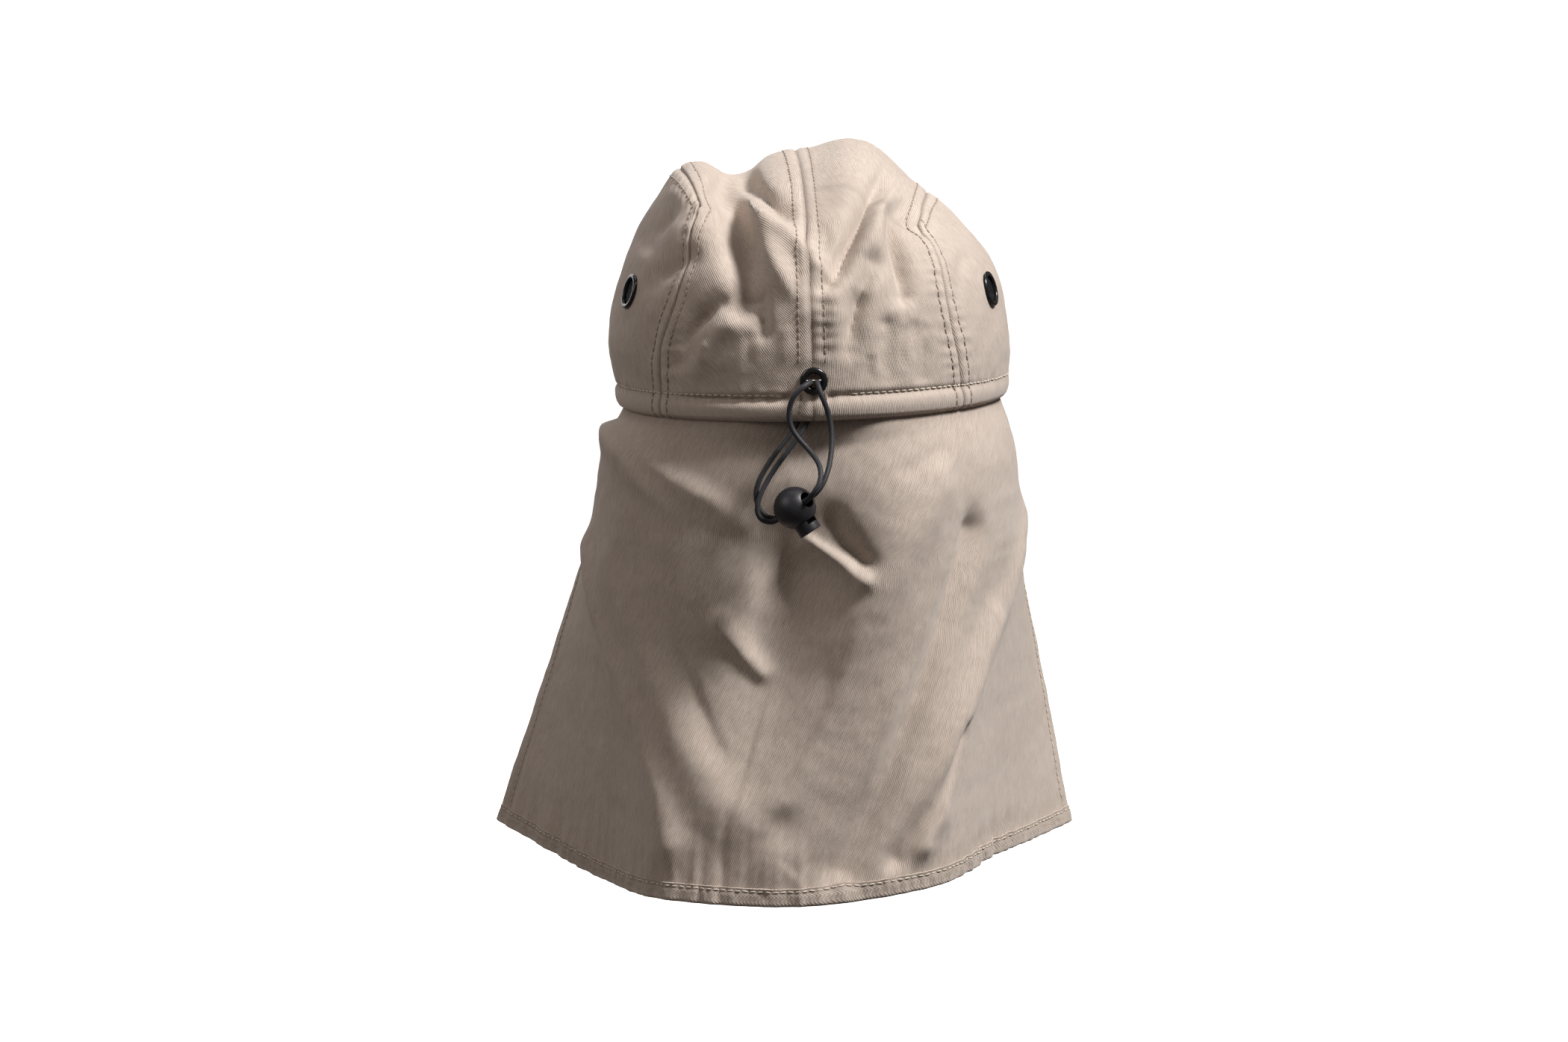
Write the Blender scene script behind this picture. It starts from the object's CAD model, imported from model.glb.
import math

import bpy
import numpy as np
from mathutils import Matrix, Vector, noise


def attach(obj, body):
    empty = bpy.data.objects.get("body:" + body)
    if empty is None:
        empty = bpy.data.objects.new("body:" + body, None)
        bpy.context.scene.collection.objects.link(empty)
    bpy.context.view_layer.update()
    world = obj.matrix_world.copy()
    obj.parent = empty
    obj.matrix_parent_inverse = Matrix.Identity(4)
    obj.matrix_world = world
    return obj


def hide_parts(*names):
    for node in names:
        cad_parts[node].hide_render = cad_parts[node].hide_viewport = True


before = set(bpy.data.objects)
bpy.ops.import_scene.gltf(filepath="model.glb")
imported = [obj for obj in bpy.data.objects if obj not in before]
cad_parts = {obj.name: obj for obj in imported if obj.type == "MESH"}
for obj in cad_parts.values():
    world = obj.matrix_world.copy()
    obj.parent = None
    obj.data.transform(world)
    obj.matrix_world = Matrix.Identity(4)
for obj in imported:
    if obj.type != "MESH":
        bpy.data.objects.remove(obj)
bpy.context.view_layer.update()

mm = 0.001


# Small helpers

def deselectAll():
    if bpy.context.object and bpy.context.object.mode != "OBJECT":
        bpy.ops.object.mode_set(mode="OBJECT")
    bpy.ops.object.select_all(action="DESELECT")


def makeActive(piece):
    deselectAll()
    piece.select_set(True)
    bpy.context.view_layer.objects.active = piece


def applyModifier(piece, kind, **settings):
    makeActive(piece)
    modifier = piece.modifiers.new(kind.lower(), kind)
    for key, value in settings.items():
        setattr(modifier, key, value)
    bpy.ops.object.modifier_apply(modifier=modifier.name)


def placeInMesh(piece, matrix):
    # the place goes into the mesh, the object stays at the origin
    piece.data.transform(matrix @ piece.matrix_basis)
    piece.matrix_basis = Matrix.Identity(4)


def smoothShade(piece, degrees=40):
    makeActive(piece)
    bpy.ops.object.shade_smooth_by_angle(angle=math.radians(degrees))


def add(operator, **settings):
    deselectAll()
    operator(**settings)
    return bpy.context.object


def copyPiece(piece, matrix):
    copy = piece.copy()
    copy.data = piece.data.copy()
    bpy.context.scene.collection.objects.link(copy)
    copy.data.transform(matrix)
    return copy


def editMesh(piece, *steps):
    # each step runs on all of the piece
    makeActive(piece)
    bpy.ops.object.mode_set(mode="EDIT")
    bpy.ops.mesh.select_all(action="SELECT")
    for step in steps:
        step()
    bpy.ops.object.mode_set(mode="OBJECT")


def weld():
    bpy.ops.mesh.remove_doubles(threshold=0.00001)


def faceOut():
    bpy.ops.mesh.normals_make_consistent(inside=False)


def joinPieces(name, pieces):
    deselectAll()
    for piece in pieces:
        piece.select_set(True)
    bpy.context.view_layer.objects.active = pieces[0]
    bpy.ops.object.join()
    pieces[0].name = name
    pieces[0].data.name = name
    return pieces[0]


def dress(piece, material, body, slot, *nodes):
    piece.data.materials.clear()
    piece.data.materials.append(material)
    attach(piece, body)
    if nodes:
        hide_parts(*nodes)


def readTable(rows, at):
    # one smooth curve through a table's rows, read at its first column
    table = np.array(rows, float)
    keys, values = table[:, 0], table[:, 1:]
    slopes = np.gradient(values, keys, axis=0)
    at = np.clip(np.asarray(at, float), keys[0], keys[-1])
    row = np.clip(np.searchsorted(keys, at, side="right") - 1, 0, len(keys) - 2)
    width = (keys[row + 1] - keys[row])[..., None]
    t = (at - keys[row])[..., None] / width
    return ((2 * t**3 - 3 * t**2 + 1) * values[row] + (t**3 - 2 * t**2 + t) * width * slopes[row]
            + (3 * t**2 - 2 * t**3) * values[row + 1] + (t**3 - t**2) * width * slopes[row + 1])


def ramp(value, low, high):
    t = np.clip((value - low) / (high - low), 0, 1)
    return t * t * (3 - 2 * t)


def bump(distance, width):
    return np.exp(-(distance / width)**2)


def unit(vectors):
    return vectors / np.maximum(np.linalg.norm(vectors, axis=-1, keepdims=True), 1e-12)


def grain(points, size, seed):
    # soft noise over points, about -1 to 1, with features of the given size
    flat = np.asarray(points).reshape(-1, 3) / size
    shift = np.array((seed * 3.7, seed * 1.9, seed * 5.3))
    values = [noise.noise(Vector(p)) for p in flat + shift]
    return np.array(values).reshape(np.asarray(points).shape[:-1])


# Camera, floor and lights

view = {
    "place": (0.011, 1.5939, 0.0938),
    "aim": (0.011, 0, -0.04566),
    "lens": 92.35,
    "floorHeight": -0.30,
    "floorSize": 24,
}


def lookFrom(place, aim):
    return (Vector(aim) - Vector(place)).to_track_quat("-Z", "Y").to_euler()


def setUpCamera():
    camera = add(bpy.ops.object.camera_add, location=view["place"],
                 rotation=lookFrom(view["place"], view["aim"]))
    camera.data.sensor_width = 36
    camera.data.lens = view["lens"]
    camera.data.clip_end = 60
    bpy.context.scene.camera = camera


def setUpFloor():
    floor = add(bpy.ops.mesh.primitive_plane_add, size=view["floorSize"],
                location=(0, 0, view["floorHeight"]))
    floor.name = "floor"
    paper = bpy.data.materials.new("whitePaper")
    paper.use_nodes = True
    shader = paper.node_tree.nodes["Principled BSDF"]
    for key, value in (("Base Color", (0.9, 0.9, 0.9, 1)), ("Roughness", 0.9),
                       ("Emission Color", (1, 1, 1, 1)), ("Emission Strength", 1.0)):
        shader.inputs[key].default_value = value
    floor.data.materials.append(paper)
    floor.visible_diffuse = False
    floor.visible_glossy = False


lamps = {
    # place, size, watts, colour
    "keyLamp": ((-1.0, 0.62, 1.35), 0.45, 49, (1.0, 0.985, 0.965)),
    "fillLamp": ((1.3, 0.75, 0.95), 0.9, 6.6, (1.0, 0.92, 0.86)),
    "topLamp": ((0.1, -0.4, 1.5), 1.0, 4, (1.0, 1.0, 1.0)),
    "backLamp": ((0.6, -1.5, 0.5), 1.2, 8, (1.0, 1.0, 1.0)),
}


def setUpLights():
    for name, (place, size, watts, colour) in lamps.items():
        lamp = add(bpy.ops.object.light_add, type="AREA", location=place,
                   rotation=lookFrom(place, (0, 0, -0.03)))
        lamp.name = name
        lamp.data.size = size
        lamp.data.energy = watts
        lamp.data.color = colour
    world = bpy.data.worlds.new("studio")
    bpy.context.scene.world = world
    world.use_nodes = True
    nodes, links = world.node_tree.nodes, world.node_tree.links
    nodes["Background"].inputs["Color"].default_value = (1, 0.89, 0.82, 1)
    nodes["Background"].inputs["Strength"].default_value = 0.10
    seen = nodes.new("ShaderNodeBackground")
    seen.inputs["Color"].default_value = (1, 1, 1, 1)
    seen.inputs["Strength"].default_value = 1.3
    path = nodes.new("ShaderNodeLightPath")
    mix = nodes.new("ShaderNodeMixShader")
    links.new(path.outputs["Is Camera Ray"], mix.inputs[0])
    links.new(nodes["Background"].outputs[0], mix.inputs[1])
    links.new(seen.outputs[0], mix.inputs[2])
    links.new(mix.outputs[0], nodes["World Output"].inputs["Surface"])
    bpy.context.scene.view_settings.view_transform = "Standard"


setUpCamera()
setUpFloor()
setUpLights()
print("camera, floor and lights are in place")


# Materials

class NodeBoard:
    # short way to lay out a material's nodes
    def __init__(self, name):
        self.material = bpy.data.materials.new(name)
        self.material.use_nodes = True
        self.tree = self.material.node_tree
        self.place = self.add("ShaderNodeTexCoord").outputs["Object"]

    def add(self, kind, inputs={}, **values):
        node = self.tree.nodes.new(kind)
        for key, value in values.items():
            setattr(node, key, value)
        self.feed(node, inputs)
        return node

    def feed(self, node, inputs):
        # each input gets a number, a colour or another node's output
        for key, value in inputs.items():
            if isinstance(value, (int, float)):
                node.inputs[key].default_value = value
            elif isinstance(value, tuple):
                node.inputs[key].default_value = (*value, 1)
            else:
                self.tree.links.new(value, node.inputs[key])

    def finish(self, inputs):
        self.feed(self.tree.nodes["Principled BSDF"], inputs)
        return self.material

    def maths(self, operation, first, second=0.0):
        return self.add("ShaderNodeMath", {0: first, 1: second}, operation=operation).outputs[0]

    def total(self, *parts):
        # the sum of values, each times its weight
        weighted = [self.maths("MULTIPLY", value, weight) for value, weight in parts]
        total = weighted[0]
        for value in weighted[1:]:
            total = self.maths("ADD", total, value)
        return total

    def noise(self, vector, scale, detail=2.0, roughness=0.5, stretch=None):
        if stretch:
            mapping = self.add("ShaderNodeMapping", {"Vector": vector})
            mapping.inputs["Scale"].default_value = stretch
            vector = mapping.outputs[0]
        return self.add("ShaderNodeTexNoise", {"Scale": scale, "Detail": detail, "Roughness": roughness,
                                               "Vector": vector}).outputs[0]

    def ramp(self, value, *stops):
        node = self.add("ShaderNodeValToRGB", {0: value})
        band = node.color_ramp.elements
        while len(band) < len(stops):
            band.new(0.5)
        for element, (place, colour) in zip(band, stops):
            element.position = place
            element.color = (*colour, 1)
        return node.outputs[0]

    def mix(self, factor, first, second, blend="MIX"):
        return self.add("ShaderNodeMix", {0: factor, 6: first, 7: second},
                        data_type="RGBA", blend_type=blend).outputs[2]

    def bump(self, height, strength, distance, before=None):
        inputs = {"Height": height, "Strength": strength, "Distance": distance}
        if before is not None:
            inputs["Normal"] = before
        return self.add("ShaderNodeBump", inputs).outputs[0]


twill = {
    "pitch": 0.00067,           # one diagonal rib
    "yarn": 0.00034,            # threads along a rib
    "dark": (0.345, 0.278, 0.234),
    "pale": (0.60, 0.515, 0.450),
    "worn": (0.70, 0.615, 0.552),
    "shade": (0.50, 0.46, 0.45),
    "roughness": 0.88,
    "sheen": 0.22,
    "depth": 0.00016,
}


def makeTwill(name, ribs=1.0):
    board = NodeBoard(name)
    uv = board.add("ShaderNodeUVMap", uv_map="cloth").outputs[0]
    split = board.add("ShaderNodeSeparateXYZ", {0: uv})
    across, along = split.outputs[0], split.outputs[1]
    drift = board.noise(uv, 260)
    shifted = board.maths("ADD", across, board.maths("MULTIPLY", drift, 0.00045))
    rib = board.maths("SINE", board.maths("MULTIPLY", shifted, 2 * math.pi / twill["pitch"]))
    thread = board.maths("SINE", board.maths("MULTIPLY", along, 2 * math.pi / twill["yarn"]))
    weave = board.maths("ADD", board.total((rib, 0.36), (thread, 0.10)), 0.5)
    fibre = board.noise(uv, 1.0, 3, 0.6, (2600, 420, 1))
    streak = board.noise(uv, 1.0, 2, 0.5, (950, 150, 1))
    blotch = board.noise(board.place, 24, 3, 0.55)
    tone = board.total((weave, 0.60 * ribs), (fibre, 0.42), (streak, 0.50), (blotch, 0.20))
    cloth = board.ramp(tone, (0.56, twill["dark"]), (1.0, twill["pale"]))
    wear = board.add("ShaderNodeAttribute", attribute_name="wear").outputs["Fac"]
    cloth = board.mix(wear, cloth, twill["worn"])
    shade = board.add("ShaderNodeAttribute", attribute_name="shade").outputs["Fac"]
    cloth = board.mix(shade, cloth, board.mix(1.0, cloth, twill["shade"], "MULTIPLY"))
    nap = board.noise(uv, 5200, 2, 0.7)
    height = board.maths("ADD", weave, board.maths("MULTIPLY", nap, 0.35))
    crush = board.noise(board.place, 320, 3, 0.6)
    relief = board.bump(crush, 0.35, 0.0003, board.bump(height, 0.75, twill["depth"]))
    return board.finish({"Base Color": cloth, "Normal": relief, "Roughness": twill["roughness"],
                         "Sheen Weight": twill["sheen"], "Sheen Roughness": 0.45,
                         "Specular IOR Level": 0.25})


def makeThread(name, dark, pale):
    board = NodeBoard(name)
    ply = board.noise(board.place, 2600)
    return board.finish({"Base Color": board.ramp(ply, (0.3, dark), (0.7, pale)),
                         "Normal": board.bump(ply, 0.6, 0.00008), "Roughness": 0.7, "Sheen Weight": 0.2})


def makePlastic(name, colour, roughness, grainSize, depth):
    board = NodeBoard(name)
    fine = board.noise(board.place, grainSize, 3, 0.6)
    paler = tuple(1.9 * c for c in colour)
    scuff = board.noise(board.place, 180, 4, 0.65)
    rough = board.maths("ADD", board.maths("MULTIPLY", scuff, 0.22), roughness - 0.11)
    return board.finish({"Base Color": board.ramp(fine, (0.35, colour), (0.75, paler)),
                         "Normal": board.bump(fine, 0.3, depth), "Roughness": rough})


def makeElastic(name):
    board = NodeBoard(name)
    braid = board.add("ShaderNodeTexVoronoi", {"Scale": 2300, "Vector": board.place})
    fuzz = board.noise(board.place, 900, 3, 0.6)
    tone = board.total((braid.outputs["Distance"], 0.5), (fuzz, 0.6))
    colour = board.ramp(tone, (0.25, (0.004, 0.004, 0.006)), (0.8, (0.018, 0.018, 0.026)))
    return board.finish({"Base Color": colour, "Normal": board.bump(tone, 0.5, 0.00012),
                         "Roughness": 0.62, "Sheen Weight": 0.12})


clothTwill = makeTwill("khakiTwill")
tapeTwill = makeTwill("khakiTape", 0.7)
creamThread = makeThread("creamThread", (0.52, 0.45, 0.36), (0.78, 0.71, 0.60))
khakiThread = makeThread("khakiThread", (0.27, 0.21, 0.17), (0.46, 0.38, 0.31))
satinPlastic = makePlastic("satinBlackPlastic", (0.012, 0.012, 0.015), 0.42, 1500, 0.00003)
glossEnamel = makePlastic("glossBlackEnamel", (0.007, 0.007, 0.008), 0.22, 700, 0.00001)
netNylon = makePlastic("blackNet", (0.016, 0.016, 0.021), 0.55, 2500, 0.00002)
blackElastic = makeElastic("blackElastic")
print("materials are mixed")


# Cords

cordValues = {
    "radius": 0.0010,
    "points": 120,
    "rightRoute": (
        (-12.0, 93.3, 4.7), (-8.29, 93.37, 5.35), (-5.25, 93.22, 6.95), (-3.15, 92.99, 8.93),
        (-2.09, 92.9, 10.9), (-1.57, 93.59, 12.69), (-1.33, 94.99, 14.1), (-1.3, 97.07, 14.86),
        (-1.3, 99.35, 14.9), (-1.53, 101.31, 14.12), (-2.02, 102.66, 12.65), (-2.83, 103.32, 10.33),
        (-4.31, 103.27, 6.75), (-5.71, 102.82, 2.37), (-6.49, 103.15, -1.85), (-6.76, 104.3, -6.36),
        (-6.47, 106.26, -10.93), (-5.7, 109.0, -15.55), (-4.46, 111.56, -19.63), (-3.1, 112.97, -22.51),
        (-1.65, 113.21, -24.52), (-0.16, 112.55, -26.11), (1.46, 110.63, -27.45), (4.7, 107.16, -29.85),
        (7.97, 103.52, -32.3), (10.42, 100.99, -34.11), (12.4, 99.88, -35.33), (14.38, 99.52, -35.99),
        (16.43, 99.4, -35.77), (18.43, 99.39, -34.56), (20.16, 99.4, -32.37), (21.21, 99.43, -29.33),
        (21.33, 99.5, -25.84), (20.34, 99.39, -22.05), (18.1, 98.92, -17.77), (15.07, 98.28, -13.18),
        (11.8, 96.98, -8.91), (8.43, 95.34, -4.56), (6.19, 94.05, -0.92), (5.0, 93.6, 2.8),
    ),
    "leftRoute": (
        (12.0, 93.3, 4.7), (7.86, 93.34, 5.52), (4.59, 93.17, 7.47), (2.65, 92.87, 9.68),
        (1.77, 93.18, 11.86), (1.36, 94.44, 13.66), (1.3, 96.59, 14.77), (1.26, 99.18, 14.93),
        (1.95, 101.5, 14.46), (3.43, 103.0, 13.53), (5.52, 103.62, 11.88), (7.63, 103.59, 9.13),
        (8.87, 103.02, 5.5), (9.08, 102.8, 1.47), (7.95, 102.9, -2.33), (5.41, 103.52, -6.06),
        (2.08, 104.89, -9.67), (-0.45, 107.26, -12.65), (-2.15, 110.47, -15.67), (-2.6, 113.33, -18.71),
        (-2.07, 115.11, -21.61), (-0.79, 115.87, -23.92), (0.7, 115.38, -25.97), (2.36, 113.44, -27.86),
        (5.39, 109.88, -30.31), (9.09, 105.81, -32.93), (11.59, 103.03, -34.77), (13.54, 102.09, -36.31),
        (15.68, 101.91, -37.11), (17.88, 102.03, -36.88), (19.74, 102.19, -35.65), (20.83, 102.29, -33.6),
        (20.79, 102.12, -30.67), (19.48, 101.28, -26.47), (16.71, 99.92, -21.12), (13.15, 98.87, -15.74),
        (9.21, 97.6, -10.61), (5.41, 95.74, -5.57), (2.42, 94.17, -0.85), (0.9, 93.7, 3.2),
    ),
}


def makeCord(name, route, node):
    # one smooth line through the route, the same as the solid cord's
    chosen = np.array(route) * mm
    runs = np.linalg.norm(np.diff(chosen, axis=0), axis=1)
    keys = np.concatenate([[0], np.cumsum(runs)])
    points = readTable(np.column_stack([keys, chosen]), np.linspace(0, keys[-1], cordValues["points"]))
    length = float(np.linalg.norm(np.diff(points, axis=0), axis=1).sum())
    line = bpy.data.curves.new(name, "CURVE")
    line.dimensions = "3D"
    line.bevel_depth = cordValues["radius"]
    line.bevel_resolution = 5
    line.use_fill_caps = True
    spline = line.splines.new("POLY")
    spline.points.add(len(points) - 1)
    for point, place in zip(spline.points, points):
        point.co = (*place, 1)
    spline.use_smooth = True
    cord = bpy.data.objects.new(name, line)
    bpy.context.scene.collection.objects.link(cord)
    dress(cord, blackElastic, "cap", "black_elastic", node)
    return cord, length


rightCord, rightLength = makeCord("rightElastic", cordValues["rightRoute"], "cord_right")
leftCord, leftLength = makeCord("leftElastic", cordValues["leftRoute"], "cord_left")
print("cords laid:", round(rightLength, 4), round(leftLength, 4))


# The crown's form, the same tables as the solids

crownForm = {
    # along, height, left, right, back, front
    "profile": (
        (0.00, 0.0, 76.3, 76.3, 97.0, 97.0),
        (0.09, 13.0, 78.2, 78.0, 98.0, 99.0),
        (0.17, 25.0, 80.6, 78.0, 99.0, 100.0),
        (0.25, 37.0, 79.3, 76.5, 99.0, 100.0),
        (0.33, 49.0, 76.6, 74.3, 97.0, 99.0),
        (0.41, 60.0, 73.0, 69.6, 92.5, 96.0),
        (0.50, 72.0, 67.4, 61.0, 84.0, 89.0),
        (0.60, 84.0, 58.0, 49.5, 70.0, 77.0),
        (0.71, 94.0, 44.0, 37.5, 51.0, 57.0),
        (0.84, 102.0, 24.0, 22.0, 27.0, 30.0),
        (1.00, 105.8, 0.0, 0.0, 0.0, 0.0),
        (1.16, 102.0, -24.0, -22.0, -27.0, -30.0),
    ),
    # x, lift of the top
    "topLift": (
        (-80, 0.0), (-70, -1.0), (-55, -1.8), (-41, -3.0), (-33, -1.0), (-23, 2.5), (-14, 1.5),
        (0, -3.5), (17, -4.5), (27, -8.5), (34, -6.5), (43, 2.0), (52, 5.3), (62, 2.0), (75, 0.0),
    ),
    "liftHeights": (45 * mm, 80 * mm),
    "liftDepths": (-75 * mm, -25 * mm),
    "sideRise": 2.6 * mm,
    "roll": 2.1 * mm,
    "step": 0.004,
    "foldDepths": (5 * mm, 30 * mm),
    "foldGain": 1.15,
    "foldHeights": (10 * mm, 20 * mm),
    "calm": (8 * mm, 17 * mm),        # no folds this near an eyelet or a vent
    "fineCalm": (5.5 * mm, 9 * mm),
    "cloth": 1.2 * mm,
}

# Folds: start, middle and end across and up, widths to the left and right, heights at both ends, mm
backFolds = (
    (33, 88, 27, 72, 26, 46, 6, 6, -7, -8),
    (34, 92, 16, 74, -4, 56, 5, 4, 5, 2),
    (25, 88, 18, 81, 12, 76, 4, 4, -4, -4),
    (22, 73, 12, 57, 3, 42, 5, 5, 3, 1),
    (21, 46, 20, 40, 19, 33, 3, 3, -3, -2),
    (36, 44, 45, 35, 51, 21, 4, 3, -3, -2),
    (31, 36, 38, 30, 43, 18, 4, 4, 2, 1),
    (-26, 88, -17, 72, -7, 52, 5, 3, -5, -5),
    (-27, 80, -23, 66, -19, 50, 4, 4, 3, 3),
    (-28, 77, -33, 61, -35, 47, 4, 3, -4, -4),
    (-34, 79, -38, 74, -42, 70, 3, 3, -3, -2),
    (-22, 59, -17, 42, -13, 27, 4, 4, -4, -2),
    (-8, 50, -8, 38, -10, 28, 4, 4, 2, 1),
    (-28, 36, -29, 26, -28, 15, 3, 3, -2, -1),
    (-38, 34, -40, 24, -41, 15, 3, 3, -1, -1),
    (55, 79, 60, 73, 64, 66, 4, 4, -2, -2),
    (48, 61, 54, 57, 62, 50, 5, 5, -2, -1),
)
# Sharper creases that only the cloth has
crispFolds = (
    (32.5, 88.3, 15.5, 73.5, -5.2, 56.5, 2.0, 5, 1.7, 0.9),
    (31.9, 83.8, 27.8, 73.2, 27.2, 48.1, 3, 2, -2.0, -1.6),
    (22.2, 86.1, 16.6, 81.6, 12.1, 75.8, 2, 3, -1.3, -0.7),
    (22.2, 72.4, 13.8, 56.5, 4.0, 42.5, 2, 3, 1.3, 0.8),
    (20.5, 45.1, 19.4, 39.7, 18.8, 33.6, 2, 2, -1.4, -0.8),
    (36.2, 43.9, 46.6, 33.6, 51.1, 22.1, 2, 2.5, -1.8, -1.0),
    (39.0, 30.0, 40.7, 25.8, 42.4, 18.7, 1.5, 2, 1.0, 0.6),
    (46.0, 28.0, 48.0, 22.9, 48.8, 17.3, 1.5, 1.5, -0.9, -0.5),
    (-25.8, 87.2, -16.7, 72.4, -7.5, 52.9, 3, 1.6, -2.2, -1.8),
    (-28.6, 83.8, -20.3, 70.5, -11.4, 55.1, 1.8, 3.5, 1.4, 1.2),
    (-7.5, 52.9, -5.8, 50.7, -7.5, 47.9, 1.6, 1.6, -1.1, -0.6),
    (-27.0, 75.8, -32.6, 61.0, -34.9, 47.3, 1.8, 2.5, -1.8, -1.3),
    (-34.8, 76.9, -37.9, 74.1, -40.7, 71.3, 1.5, 1.5, -1.2, -0.8),
    (-22.3, 58.7, -16.7, 42.5, -13.4, 27.7, 2, 2, -1.8, -1.1),
    (-25.4, 57.9, -20.3, 43.1, -17.0, 30.0, 1.8, 3, 1.2, 0.7),
    (-26.8, 34.2, -26.0, 25.8, -26.8, 15.9, 1.6, 1.6, -0.8, -0.5),
    (-35.2, 37.0, -33.8, 27.2, -35.0, 17.3, 1.6, 1.6, -0.8, -0.5),
    (-21.2, 25.8, -20.7, 20.1, -19.8, 14.0, 1.4, 1.6, -0.8, -0.5),
    (-43.6, 37.0, -42.2, 30.0, -43.1, 20.1, 1.6, 1.6, -0.7, -0.5),
    (54.3, 79.4, 58.5, 73.2, 63.5, 67.7, 2, 2, -1.3, -0.8),
    (48.7, 61.0, 54.3, 56.0, 60.2, 51.8, 2, 2, -1.1, -0.7),
    (37.5, 83.8, 35.6, 73.2, 33.9, 59.3, 3, 1.8, 1.5, 1.0),
    (25.0, 34.2, 24.2, 27.2, 25.0, 17.3, 2, 2, -1.0, -0.6),
    (11.0, 37.0, 10.4, 28.6, 11.0, 17.3, 2, 2, 0.8, 0.5),
    (-58.9, 64.9, -56.1, 53.7, -54.8, 42.5, 3, 3, -0.9, -0.6),
    (42.8, 80.2, 44.0, 78.5, 45.1, 77.1, 1.2, 1.2, 0.8, 0.4),
    (-38.7, 73.2, -43.5, 62.1, -44.9, 50.9, 2.4, 2.4, 0.9, 0.6),
    (61.4, 39.7, 60.9, 30.0, 62.6, 18.7, 2.4, 2, -0.9, -0.6),
    (8.2, 64.9, 6.5, 53.7, 6.0, 45.3, 2.5, 1.8, -1.0, -0.6),
    (-5.8, 73.2, -4.1, 64.9, -5.2, 58.7, 2.2, 1.8, -1.1, -0.6),
)
frontFolds = (
    (-30, 92, -20, 78, -26, 60, 9, 9, -3, -1),
    (18, 88, 34, 72, 38, 52, 10, 9, -3, -1),
    (-4, 70, 6, 50, 2, 30, 12, 12, -2, -1),
    (44, 40, 50, 28, 52, 16, 7, 7, -2, -1),
    (-46, 44, -50, 30, -50, 16, 7, 7, -2, -1),
)


def foldLift(folds, across, up, fade=0.0):
    # height of the folds over the plain form; with a fade they die out at both ends
    lift = np.zeros_like(across)
    steps = 10
    for x0, z0, xm, zm, x1, z1, widthLeft, widthRight, height0, height1 in folds:
        start, middle, end = np.array((x0, z0)), np.array((xm, zm)), np.array((x1, z1))
        bend = 2 * middle - (start + end) / 2
        nearest = np.full(across.shape, np.inf)
        share, side = np.zeros_like(across), np.zeros_like(across)
        before = start
        for step in range(steps):
            s = (step + 1) / steps
            after = (1 - s)**2 * start + 2 * s * (1 - s) * bend + s**2 * end
            run = after - before
            fromX, fromZ = across - before[0], up - before[1]
            place = np.clip((fromX * run[0] + fromZ * run[1]) / (run @ run), 0, 1)
            gap = np.hypot(fromX - place * run[0], fromZ - place * run[1])
            closer = gap < nearest
            nearest = np.where(closer, gap, nearest)
            share = np.where(closer, (step + place) / steps, share)
            side = np.where(closer, (fromX * run[1] - fromZ * run[0]) / np.linalg.norm(run), side)
            before = after
        if z1 > z0:
            side = -side
        width = widthRight + (widthLeft - widthRight) * ramp(-side, -1.5, 1.5)
        height = height0 + (height1 - height0) * share
        if fade:
            height = height * ramp(share, 0, fade) * (1 - ramp(share, 1 - fade, 1))
        lift += height * np.exp(-(nearest / width)**2)
    return lift * mm


def normalsOf(surface, a, b):
    step = crownForm["step"]
    return unit(np.cross(surface(a + step, b) - surface(a - step, b),
                         surface(a, b + step) - surface(a, b - step)))


def crownBase(left, back):
    # round map: left is +, back is +, the band is at distance 1 and the top at 0
    reach = np.maximum(np.hypot(left, back), 1e-9)
    height, toLeft, toRight, toBack, toFront = np.moveaxis(
        readTable(crownForm["profile"], 1 - reach), -1, 0) * mm
    x = left / reach * np.where(left > 0, toLeft, toRight)
    y = back / reach * np.where(back > 0, toBack, toFront)
    rise = crownForm["sideRise"] * (1 - back / reach) - crownForm["roll"] * left / reach
    z = height + rise * np.clip(reach, 0, 1)**2 * ramp(reach, 0.3, 1.0)
    top = ramp(z, *crownForm["liftHeights"]) * ramp(y, *crownForm["liftDepths"])
    z = z + readTable(crownForm["topLift"], x / mm)[..., 0] * mm * top
    return np.stack([x, y, z], axis=-1)


def crownSurface(left, back):
    base = crownBase(left, back)
    normal = normalsOf(crownBase, left, back)
    x, y, z = np.moveaxis(base, -1, 0)
    low, high = crownForm["foldDepths"]
    lift = ramp(y, -low, high) * (foldLift(backFolds, x / mm, z / mm) * crownForm["foldGain"]
                                  + foldLift(crispFolds, x / mm, z / mm, 0.3) * 1.2)
    lift = lift + ramp(-y, -low, high) * foldLift(frontFolds, x / mm, z / mm)
    lift = lift * ramp(z, *crownForm["foldHeights"])
    for spot in fittingSpots:
        lift = lift * ramp(np.linalg.norm(base - spot, axis=-1), *crownForm["calm"])
    return base + normal * lift[..., None]


fittings = {
    "eyelet": (-0.1 * mm, 15.2 * mm),
    "ventLeft": 65.5,
    "ventRight": -66.0,
    "ventAlong": 0.315,
    "eyeletHole": 3.9 * mm,
    "ventHole": 5.9 * mm,
}


def roundMap(angle, along):
    turn = np.radians(angle)
    return np.sin(turn) * (1 - along), np.cos(turn) * (1 - along)


def eyeletMap():
    rows = crownForm["profile"][:10]
    along = np.interp(fittings["eyelet"][1] / mm, [row[1] for row in rows], [row[0] for row in rows])
    return np.array(fittings["eyelet"][0] / (76.3 * mm)), np.array(1 - along)


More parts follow.
